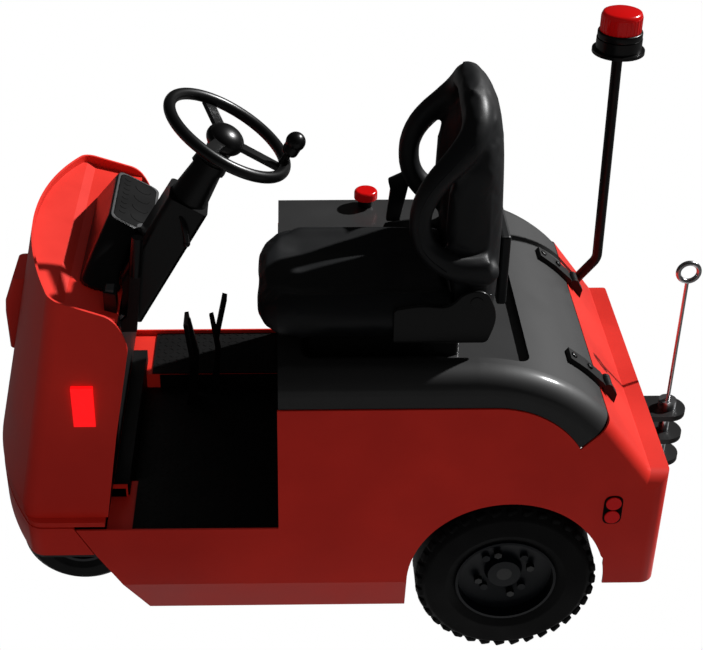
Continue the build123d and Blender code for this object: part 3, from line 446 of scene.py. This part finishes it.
# A rim's point is its place forward, its offset to the side, its height and the rim's radius.
rim_route = ((118, 0, 1326, 29), (119, 60, 1321, 31), (116, 104, 1302, 32), (124, 132, 1268, 32),
             (158, 148, 1230, 28), (190, 156, 1197, 27), (213, 160, 1164, 26), (227, 161, 1126, 25),
             (228, 161, 1084, 25), (218, 161, 1046, 26), (198, 160, 1018, 28), (166, 157, 993, 31),
             (124, 152, 984, 34), (82, 144, 986, 35))
foot_route = ((150, 152, 985), (92, 150, 975), (76, 140, 960))
back_parts = [skinned("back_shell", [back_ring(*station) for station in back_stations], vinyl)]
for side in (1, -1):
    route = [local(x, seat_y + side * y, z) for x, y, z, r in rim_route]
    back_parts.append(roll("back_rim", route, [r / 1000 for x, y, z, r in rim_route], vinyl))
    foot = [local(x, seat_y + side * y, z) for x, y, z in foot_route]
    back_parts.append(roll("back_foot", foot, [0.03, 0.036, 0.03], vinyl))
seat_back_cover = merged("seat_back_cover", back_parts)
blown_up(seat_back_cover, shrink=0.001, pressure=2, cap=0.004, voxel=0.005, ease=6)
shown(seat_back_cover, "lid")
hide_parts("seat_back")

# Piping: a thin sewn welt along the outer face of each rim, where two panels of vinyl meet.
welt_radius = 0.0017
for side, name in ((1, "near"), (-1, "far")):
    route = [local(x + 5, seat_y + side * (y + r * 0.93), z) for x, y, z, r in rim_route[3:12]]
    shown(roll("back_piping_" + name, route, [welt_radius] * len(route), vinyl), "lid")


# Seat cushion: a thick vinyl pad with raised side bolsters and a rounded front, on a black pan.
# A station is its place forward and its half width.
cushion_top = 918
cushion_under = 816
front_x = 470
front_drop = 34
front_rise = 26
dish_depth = 30
rear_x = 160
rear_dish = 12
cushion_stations = ((146, 158), (160, 174), (230, 181), (380, 182), (470, 181), (520, 172),
                    (550, 150), (567, 112))


def cushion_ring(x, half):
    """One station of the cushion: flat below, full sides, high bolsters and a dished seat."""
    forward = max(0.0, (x - front_x) / 100)
    top = cushion_top - front_drop * forward ** 2
    under = cushion_under + front_rise * forward ** 2
    dish = dish_depth * (1 - forward) if x > rear_x else rear_dish
    side = [(0, under), (half * 0.6, under), (half - 12, under + 3), (half - 1, under + 24),
            (half, (under + top) / 2), (half - 3, top - 26), (half - 16, top - 5), (half - 36, top),
            (half - 62, top - dish * 0.55), (half * 0.42, top - dish)]
    whole = side + [(0, top - dish)] + [(-y, z) for y, z in reversed(side[1:])]
    return [local(x, seat_y + y, z) for y, z in whole]


cushion_rings = [cushion_ring(*station) for station in cushion_stations]
seat_cushion_cover = skinned("seat_cushion_cover", cushion_rings, vinyl)
blown_up(seat_cushion_cover, shrink=0.002, pressure=3, cap=0.005, voxel=0.0055, ease=8)
shown(seat_cushion_cover, "lid")
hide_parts("seat_cushion")


# Hip covers: moulded black plates screwed to both sides of the seat's irons, which hide the
# recliner, each with a round pivot cap.
sharp_angle = 1.2


def plate_piece(name, outline, y_faces, edge, finish):
    """A plate cut to a closed outline of (x, z) points, between two places across the tug."""
    y_from, y_to = sorted(y_faces)
    form = bmesh.new()
    near = [form.verts.new(local(x, y_to, z)) for x, z in outline]
    far = [form.verts.new(local(x, y_from, z)) for x, z in outline]
    form.faces.new(near)
    form.faces.new(list(reversed(far)))
    for index in range(len(outline)):
        after = (index + 1) % len(outline)
        form.faces.new((near[index], far[index], far[after], near[after]))
    bmesh.ops.recalc_face_normals(form, faces=form.faces)
    corners = [line for line in form.edges
               if len(line.link_faces) == 2 and line.calc_face_angle() > sharp_angle]
    bmesh.ops.bevel(form, geom=corners, offset=edge / 1000, segments=3, affect="EDGES", profile=0.5)
    return new_piece(name, as_mesh(form, name), finish)


def rounded_outline(corners, steps=6):
    """A smooth closed outline through corner points given as (x, z, radius)."""
    outline = []
    count = len(corners)
    for index in range(count):
        x, z, radius = corners[index]
        here = Vector((x, z))
        before = Vector(corners[index - 1][:2]) - here
        after = Vector(corners[(index + 1) % count][:2]) - here
        reach = min(radius, before.length * 0.48, after.length * 0.48)
        start = here + before.normalized() * reach
        end = here + after.normalized() * reach
        for step in range(steps + 1):
            t = step / steps
            outline.append(tuple(start * (1 - t) ** 2 + here * 2 * t * (1 - t) + end * t ** 2))
    return outline


both_sides = ((1, "left"), (-1, "right"))
hip_face_y = 182.4
hip_thickness = 8
cap_thickness = 2
pivot_x = 104
pivot_z = 922
pivot_radius = 15
hip_outline = rounded_outline(((276, 822, 8), (276, 905, 10), (216, 916, 30), (160, 908, 24), (128, 948, 26),
                               (84, 950, 24), (56, 890, 40), (76, 822, 12)))
pivot = rounded_outline([(pivot_x + pivot_radius * cos(turn * pi / 4),
                          pivot_z + pivot_radius * sin(turn * pi / 4), 12) for turn in range(8)], 2)
for side, name in both_sides:
    hip_y = seat_y + side * hip_face_y
    cap_y = hip_y + side * hip_thickness
    hip = plate_piece("hip_cover_" + name, hip_outline, (hip_y, cap_y), 2.5, black_moulding)
    shown(hip, "lid")
    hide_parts("seat_irons")
    cap = plate_piece("pivot_cap_" + name, pivot, (cap_y, cap_y + side * cap_thickness), 0.8, black_moulding)
    shown(cap, "lid")


# Wheels: solid rubber tyres pressed on black painted steel rims, which are nutted to their hubs.
# The rear tyres have cross lugs on both shoulders, within the tyre's own radius and width.
tyre_rubber = moulded("tyre_rubber", (0.004, 0.004, 0.0041), 0.75, 650, 0.0004, gloss=0.12)
for name in ("rear_tyre_left", "rear_tyre_right", "front_tyre_left", "front_tyre_right"):
    finish_node(name, tyre_rubber)
rim_paint = painted("rim_paint", (0.0022, 0.0028, 0.004), 0.4, 0.3, gloss=0.15)
for name in ("rear_rim_left", "rear_rim_right", "front_axle"):
    finish_node(name, rim_paint)


def box_mesh(name, size, edge):
    """A box about the origin with rounded edges, as a mesh."""
    form = bmesh.new()
    bmesh.ops.create_cube(form, size=1, matrix=Matrix.Diagonal((*[s / 1000 for s in size], 1)))
    if edge:
        bmesh.ops.bevel(form, geom=form.edges[:], offset=edge / 1000, segments=2, affect="EDGES",
                        profile=0.5)
    return as_mesh(form, name)


def round_mesh(name, radius, height, edge, sides):
    """A short upright round about the origin with a rounded rim, as a mesh."""
    form = bmesh.new()
    bmesh.ops.create_cone(form, cap_ends=True, segments=sides, radius1=radius / 1000,
                          radius2=radius / 1000, depth=height / 1000)
    rims = [line for line in form.edges if abs(line.verts[0].co.z - line.verts[1].co.z) < 1e-6]
    bmesh.ops.bevel(form, geom=rims, offset=edge / 1000, segments=2, affect="EDGES", profile=0.5)
    return as_mesh(form, name)


def repeat_group():
    """The node group: points in, realized copies of one object in one finish out."""
    group = bpy.data.node_groups.new("repeat", "GeometryNodeTree")
    group.interface.new_socket(name="Geometry", in_out="INPUT", socket_type="NodeSocketGeometry")
    group.interface.new_socket(name="Unit", in_out="INPUT", socket_type="NodeSocketObject")
    group.interface.new_socket(name="Finish", in_out="INPUT", socket_type="NodeSocketMaterial")
    group.interface.new_socket(name="Geometry", in_out="OUTPUT", socket_type="NodeSocketGeometry")
    entry = group.nodes.new("NodeGroupInput")
    leave = group.nodes.new("NodeGroupOutput")
    unit = group.nodes.new("GeometryNodeObjectInfo")
    turn = group.nodes.new("GeometryNodeInputNamedAttribute")
    turn.data_type = "FLOAT_VECTOR"
    turn.inputs["Name"].default_value = "turn"
    copies = group.nodes.new("GeometryNodeInstanceOnPoints")
    whole = group.nodes.new("GeometryNodeRealizeInstances")
    dress = group.nodes.new("GeometryNodeSetMaterial")
    group.links.new(entry.outputs["Geometry"], copies.inputs["Points"])
    group.links.new(entry.outputs["Unit"], unit.inputs["Object"])
    group.links.new(unit.outputs["Geometry"], copies.inputs["Instance"])
    group.links.new(turn.outputs["Attribute"], copies.inputs["Rotation"])
    group.links.new(copies.outputs["Instances"], whole.inputs["Geometry"])
    group.links.new(whole.outputs["Geometry"], dress.inputs["Geometry"])
    group.links.new(entry.outputs["Finish"], dress.inputs["Material"])
    group.links.new(dress.outputs["Geometry"], leave.inputs["Geometry"])
    return group


repeat = repeat_group()


def repeated(name, unit_mesh, places, finish, body):
    """Copies a unit to every (point, angles) place and makes one piece of the copies."""
    unit = bpy.data.objects.new(name + "_unit", unit_mesh)
    bpy.context.scene.collection.objects.link(unit)
    cloud = bpy.data.meshes.new(name)
    cloud.from_pydata([tuple(point) for point, angles in places], [], [])
    turns = cloud.attributes.new("turn", "FLOAT_VECTOR", "POINT")
    for value, (point, angles) in zip(turns.data, places):
        value.vector = angles
    piece = bpy.data.objects.new(name, cloud)
    bpy.context.scene.collection.objects.link(piece)
    modifier = piece.modifiers.new("repeat", "NODES")
    modifier.node_group = repeat
    sockets = {item.name: item.identifier for item in repeat.interface.items_tree
               if item.in_out == "INPUT"}
    modifier[sockets["Unit"]] = unit
    modifier[sockets["Finish"]] = finish
    made = new_piece(name, worked_out(piece), finish)
    bpy.data.objects.remove(unit)
    shaded(made, False)
    shown(made, body)


axle_z = 207.5
rear_wheel_y = 348
lug_count = 36
lug_reach = 199.5
lug_offset = 39
lug_slant = 0.35
nut_circle = 62
nut_y = 372
nut_count = 4
nut_turn = 0.3
for side, name in both_sides:
    places = []
    for edge in (1, -1):
        for index in range(lug_count):
            angle = 2 * pi * (index + (0.5 if edge < 0 else 0)) / lug_count
            places.append((local(lug_reach * sin(angle), side * rear_wheel_y + edge * lug_offset,
                                 axle_z + lug_reach * cos(angle)), (0, angle, lug_slant * edge)))
    repeated("tyre_lugs_" + name, box_mesh("lug", (24, 22, 13), 4), places, tyre_rubber,
             "rear_wheel_" + name)
    nuts = []
    for index in range(nut_count):
        angle = 2 * pi / nut_count * index + nut_turn
        nuts.append((local(nut_circle * sin(angle), side * nut_y, axle_z + nut_circle * cos(angle)),
                     (pi / 2, 0, 0)))
    nut = round_mesh("nut", radius=10, height=14, edge=1.5, sides=6)
    repeated("wheel_nuts_" + name, nut, nuts, black_steel, "rear_wheel_" + name)


# Floor: black rubber mats with raised slanting ribs, glued to both ledges, the well, its far
# riser and the toe board. The red floor still shows ahead of the mats.
mat_rubber = moulded("mat_rubber", (0.002, 0.002, 0.002), 0.55, 1400, 0.0003, gloss=0.2)
finish_node("floor_mats", mat_rubber)


def flat_box(name, x_range, y_range, z_range, finish, body, edge=0.0):
    """A box between two stations, two widths and two heights, as a piece."""
    spans = (x_range, y_range, z_range)
    piece = new_piece(name, box_mesh(name, [high - low for low, high in spans], edge), finish)
    for vertex in piece.data.vertices:
        vertex.co += local(*[(low + high) / 2 for low, high in spans])
    shaded(piece, False)
    shown(piece, body)


flat_box("well_mat", (522, 866), (-219, 219), (324.2, 327), mat_rubber, "chassis")
flat_box("riser_mat_far", (522, 830), (-219.8, -217), (324.2, 367), mat_rubber, "chassis")
flat_box("toe_mat", (864, 867.6), (-219, 219), (327, 373), mat_rubber, "chassis")
flat_box("toe_cap", (864, 867.6), (-276, 276), (373, 406), mat_rubber, "chassis")
flat_box("tongue_mat", (867.7, 899), (-276, 276), (404.2, 406), mat_rubber, "chassis")
rib_pitch = 17
ribs = []
# Each field of ribs is its two stations, two widths and height.
for x_low, x_high, y_low, y_high, z in ((532, 858, -206, 212, 327.3), (532, 842, 232, 398, 372.3),
                                        (532, 842, -398, -232, 372.3)):
    rows = int((y_high - y_low) / rib_pitch)
    columns = int((x_high - x_low) / rib_pitch)
    for row in range(rows + 1):
        for column in range(columns + 1):
            slant = pi / 4 if (row + column) % 2 else -pi / 4
            ribs.append((local(x_low + column * rib_pitch, y_low + row * rib_pitch, z), (0, 0, slant)))
repeated("mat_ribs", box_mesh("rib", (11, 3, 1.2), 0), ribs, mat_rubber, "chassis")


# Seam seals: extruded black rubber strips pushed on inside the joints of the hood with the sides
# and the tail. They keep light and spray out.
def strip(name, path, across, thickness, finish, body):
    """A flat strip along a path, as wide as +-across, pushed out along its own normal."""
    rows = []
    for index, place in enumerate(path):
        ahead = path[min(index + 1, len(path) - 1)] - path[max(index - 1, 0)]
        normal = ahead.cross(across).normalized() * thickness
        rows.append([place + across * sign + normal * lift
                     for sign, lift in ((1, 0), (-1, 0), (-1, 1), (1, 1))])
    shown(skinned(name, rows, finish), body)


seam_run = 0.695
seam_fall = 0.719
corner_y = 362
corner_depth = 50
corner_radius = 43.5
corner_steps = 8
seam_end = (405.5, 84)


def seam_point(y, depth):
    """A place in the sloping plane of the hood's rear edge, depth along it from the top face."""
    return local(-190 + seam_run * depth, y, 664 - seam_fall * depth)


seam_rounding = []
for step in range(corner_steps + 1):
    angle = pi / 2 * step / corner_steps
    seam_rounding.append((-corner_y - corner_radius * sin(angle), corner_depth - corner_radius * cos(angle)))
far_half = [(-seam_end[0], seam_end[1])] + list(reversed(seam_rounding))
seam_path = far_half + [(-y, depth) for y, depth in reversed(far_half)]
along_surface = Vector((-seam_fall, 0, -seam_run)) * 0.012
strip("rear_seal", [seam_point(y, depth) for y, depth in seam_path], along_surface, 0.0015,
      black_moulding, "chassis")
seal_outline = [(515, 722), (60, 722), (0, 716), (-52, 697), (-96, 664), (-121, 628), (-134, 612),
                (-128, 586), (-108, 606), (-83, 645), (-42, 678), (4, 694), (60, 698), (515, 698)]
for side, name in both_sides:
    seal = plate_piece("side_seal_" + name, seal_outline, (side * 402, side * 405), 0.3, black_moulding)
    shown(seal, "chassis")


# Hand wheel: a moulded plastic wheel on the leaning column, with a domed cap snapped over its
# nut and a ball for the spinner knob.
column_lean = radians(31)
up_column = Vector((-sin(column_lean), 0, cos(column_lean)))


def ball(name, centre, radii, finish, body):
    """A ball or dome with its own radius along and across the column."""
    form = bmesh.new()
    bmesh.ops.create_uvsphere(form, u_segments=40, v_segments=20, radius=1)
    across, along = [radius / 1000 for radius in radii]
    turn = Matrix.Rotation(-column_lean, 4, "Y") @ Matrix.Diagonal((across, across, along, 1))
    form.transform(Matrix.Translation(centre) @ turn)
    shown(new_piece(name, as_mesh(form, name), finish), body)


wheel_middle = local(618, seat_y, 1218)
ball("hub_dome", wheel_middle - up_column * 0.012, (42, 30), black_moulding, "hand_wheel")
ball("knob_ball", local(486, seat_y, 1188) + up_column * 0.016, (21, 21), black_moulding, "hand_wheel")


# Console: the pod's rounded plastic housing, screwed to the dash, with plain arcs for gauges in a
# framed face and no figures. The column has a stalk and a collar, the brake lever a grip and the
# switch box a rocker, all moulded plastic.
pod_source = nodes["instrument_pod"]
pod_cover = new_piece("pod_cover", pod_source.data.copy(), black_moulding)
pod_cover.matrix_world = pod_source.matrix_world.copy()
bpy.context.view_layer.update()
pod_cover.data.transform(pod_cover.matrix_world)
pod_cover.matrix_world = Matrix.Identity(4)
apply_modifier(pod_cover, "REMESH", mode="VOXEL", voxel_size=0.004)
apply_modifier(pod_cover, "SMOOTH", factor=0.5, iterations=8)
for vertex in pod_cover.data.vertices:
    vertex.co += vertex.normal * 0.002
shaded(pod_cover, True)
shown(pod_cover, "chassis")
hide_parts("instrument_pod")
# The pod's face plate and the switch rocker are a lighter grey of painted sunlight: a lit copy of the black
# moulding where the sun falls on their faces.
painted_sunlit_grey = node_material("painted_sunlit_grey", (0.032, 0.032, 0.033), 0.5, gloss=0.5)
face_ink = node_material("face_ink", (0.001, 0.001, 0.001), 0.8, gloss=0.1)
face_centre = local(835, 6, 988)
face_lean = radians(30)
face_up = Vector((cos(face_lean), 0, sin(face_lean)))
face_out = Vector((-sin(face_lean), 0, cos(face_lean)))
line_radius = 0.0009
line_lift = 1.9
lines = []


def on_face(along_y, forward, lift):
    """A place on the pod's face, millimetres from its centre."""
    across = Vector((0, along_y / 1000, 0))
    return face_centre + across + face_up * (forward / 1000) + face_out * (lift / 1000)


def face_arc(y, forward, half_width, reach, steps):
    """Adds a half round line on the face, from its far end over the side to its near end."""
    arc = [on_face(y + half_width * sin(step * pi / steps), forward + reach * cos(step * pi / steps),
                   line_lift) for step in range(steps + 1)]
    lines.append(roll("gauge_arc", arc, [line_radius] * len(arc), face_ink, rings=1))


face_ring = rounded_outline([(-109, -51, 20), (109, -51, 20), (109, 51, 20), (-109, 51, 20)])
face_rings = [[on_face(a, b, -3) for a, b in face_ring], [on_face(a, b, 1.2) for a, b in face_ring],
              [on_face(a * 0.985, b * 0.97, 1.8) for a, b in face_ring]]
face_plate = skinned("pod_face", face_rings, painted_sunlit_grey)
shaded(face_plate, False)
shown(face_plate, "chassis")
for y_offset in (-72, -28, 16, 60):
    face_arc(y_offset, forward=-12, half_width=17, reach=19, steps=10)
for index in range(8):
    face_arc(-84 + 21.5 * index, forward=27, half_width=5, reach=7, steps=6)
frame_line = [on_face(a * 0.93, b * 0.86, 1.7) for a, b in face_ring]
frame_line += frame_line[:2]
lines.append(roll("gauge_frame", frame_line, [0.0008] * len(frame_line), face_ink, rings=1))
shown(merged("gauge_lines", lines), "chassis")

stalk_points = ((722, 188, 1054), (716, 200, 1042), (712, 204, 1024), (710, 205, 1000))
stalk_path = [local(*point) for point in stalk_points]
shown(roll("column_stalk", stalk_path, [0.004, 0.0045, 0.006, 0.0065], black_moulding), "chassis")
ball("stalk_knob", local(710, 205, 996), (8, 8), black_moulding, "chassis")
collar_path = [wheel_middle - up_column * below for below in (0.066, 0.084)]
shown(roll("column_collar", collar_path, [0.037, 0.039], black_moulding), "chassis")
grip_path = [local(*point) for point in ((811, 223, 1022), (813, 223, 1005), (822, 223, 930))]
shown(roll("lever_grip", grip_path, [0.012, 0.0135, 0.0135], black_moulding), "chassis")
# The rocker's top carries the painted sunlit grey.
flat_box("switch_rocker", (862, 880), (256, 284), (923, 930), painted_sunlit_grey, "chassis", 1.5)


# Small hardware: bolts through the hinge straps, the collar under the emergency stop, the
# beacon's ribbed lens and skirt, the tail lamps' dark surrounds, the belt's buckle on the seat's
# far side and a vinyl pocket behind the seat.
bolt = round_mesh("bolt", radius=8, height=7, edge=1.5, sides=14)
strap_bolts = []
for hinge_y in (247, -201):
    for x, z, lean in ((-132, 732, -0.65), (-170, 702, -0.78)):
        strap_bolts.append((local(x, hinge_y, z), (0, lean, 0)))
repeated("strap_bolts", bolt, strap_bolts, black_moulding, "lid")
stop_collar = roll("stop_collar", [local(300, -345, z) for z in (791, 813)], [0.0195, 0.0195], black_moulding)
shown(stop_collar, "lid")
beacon_spot = (-289, -348)
beacon_rib_count = 30
beacon_rib_circle = 47.6
cap_mesh = round_mesh("beacon_cap", radius=48, height=56, edge=9, sides=48)
beacon_cap = new_piece("beacon_cap", cap_mesh, red_lens)
skirt_mesh = round_mesh("beacon_skirt", radius=53, height=18, edge=3, sides=48)
beacon_skirt = new_piece("beacon_skirt", skirt_mesh, black_moulding)
for piece, height in ((beacon_cap, 1269), (beacon_skirt, 1241)):
    for vertex in piece.data.vertices:
        vertex.co += local(*beacon_spot, height)
shown(beacon_cap, "chassis")
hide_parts("beacon_lens")
shown(beacon_skirt, "chassis")
lens_ribs = []
for index in range(beacon_rib_count):
    angle = 2 * pi * index / beacon_rib_count
    lens_ribs.append((local(beacon_spot[0] + beacon_rib_circle * cos(angle),
                            beacon_spot[1] + beacon_rib_circle * sin(angle), 1268), (0, 0, angle)))
repeated("beacon_ribs", box_mesh("rib", (2.6, 3.4, 36), 0), lens_ribs, red_lens, "chassis")
slot_outline = rounded_outline([(-241, 389, 20), (-199, 389, 20), (-199, 469, 20), (-241, 469, 20)])
for side, name in both_sides:
    slot_piece = plate_piece("lamp_slot_" + name, slot_outline, (side * 412, side * 413.2), 0.3, face_ink)
    shown(slot_piece, "chassis")
buckle_outline = rounded_outline([(270, 905, 6), (262, 985, 5), (268, 1010, 5), (232, 1028, 5),
                                  (220, 1000, 6), (238, 905, 6)])
shown(plate_piece("belt_buckle", buckle_outline, (-68, -52), 3, black_moulding), "lid")
flat_box("document_pocket", (24, 45), (62, 222), (848, 1016), vinyl, "lid", 5)
